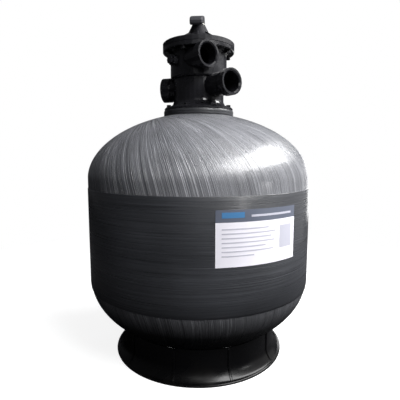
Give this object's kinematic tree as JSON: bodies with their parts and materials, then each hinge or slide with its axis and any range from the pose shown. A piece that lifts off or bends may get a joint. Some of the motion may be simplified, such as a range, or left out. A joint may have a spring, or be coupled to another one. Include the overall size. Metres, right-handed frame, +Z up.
{
  "type": "pool sand filter",
  "caption": "Free-standing sand filter: domed wound tank on a ring foot, with a top-mounted multiport valve, selector handle and inner pipework.",
  "frame": {"origin": "on the floor under the tank's axis, at the centre of the foot's rim", "axes": "+Z up along the tank's axis, -Y towards the label side seen in the picture"},
  "size_m": [0.6024, 0.6024, 0.916],
  "materials": {
    "wound_glass_fibre": "wound glass fibre in grey resin",
    "black_polypropylene": "moulded, satin",
    "charcoal_abs": "moulded, satin",
    "black_rubber": "moulded",
    "stainless_steel": "bright",
    "black_abs": "moulded, glossy",
    "white_nylon": "moulded",
    "grey_pvc": "extruded"
  },
  "bodies": {
    "filter": {"tank_shell": "wound_glass_fibre", "tank_base": "black_polypropylene", "lateral_hub": "black_polypropylene", "lateral_1": "black_polypropylene", "lateral_2": "black_polypropylene", "lateral_3": "black_polypropylene", "lateral_4": "black_polypropylene", "lateral_5": "black_polypropylene", "lateral_6": "black_polypropylene", "lateral_7": "black_polypropylene", "lateral_8": "black_polypropylene", "neck_flange": "charcoal_abs", "neck_seal": "black_rubber", "cover_seal": "black_rubber", "spider_gasket": "black_rubber", "flange_bolt_1": "stainless_steel", "flange_bolt_2": "stainless_steel", "flange_bolt_3": "stainless_steel", "flange_bolt_4": "stainless_steel", "flange_bolt_5": "stainless_steel", "flange_bolt_6": "stainless_steel", "flange_bolt_7": "stainless_steel", "flange_bolt_8": "stainless_steel", "cover_screw_1": "stainless_steel", "cover_screw_2": "stainless_steel", "cover_screw_3": "stainless_steel", "cover_screw_4": "stainless_steel", "cover_screw_5": "stainless_steel", "cover_screw_6": "stainless_steel", "cover_screw_7": "stainless_steel", "cover_screw_8": "stainless_steel", "rotor_spring": "stainless_steel", "spring_washer": "stainless_steel", "valve_body": "black_abs", "gauge_plug": "black_abs", "valve_cover": "black_abs", "standpipe": "grey_pvc", "air_relief_tube": "grey_pvc"},
    "washer": {"handle_washer": "white_nylon"},
    "rotor": {"rotor": "black_abs", "stem_seal_1": "black_rubber", "stem_seal_2": "black_rubber", "handle_pin": "stainless_steel"},
    "handle": {"handle": "black_abs"}
  },
  "joints": [
    {"name": "selector_turn", "type": "hinge", "parent": "filter", "child": "washer", "pos_m": [0, 0, 0.8909], "axis": [0, 0, 1], "continuous": true},
    {"name": "stem_lift", "type": "slide", "parent": "washer", "child": "rotor", "axis": [0, 0, 1], "range_m": [0, 0.005], "stiffness_N_per_m": 2000, "springref_m": -0.005, "deforming": ["rotor_spring"]},
    {"name": "handle_press", "type": "hinge", "parent": "rotor", "child": "handle", "pos_m": [0, 0, 0.8995], "axis": [0.9976, -0.0698, 0], "range_deg": [0, 16]}
  ],
  "couplings": [
    {"joint": "handle_press", "follows": "stem_lift", "rad_per_m": 55.56}
  ]
}
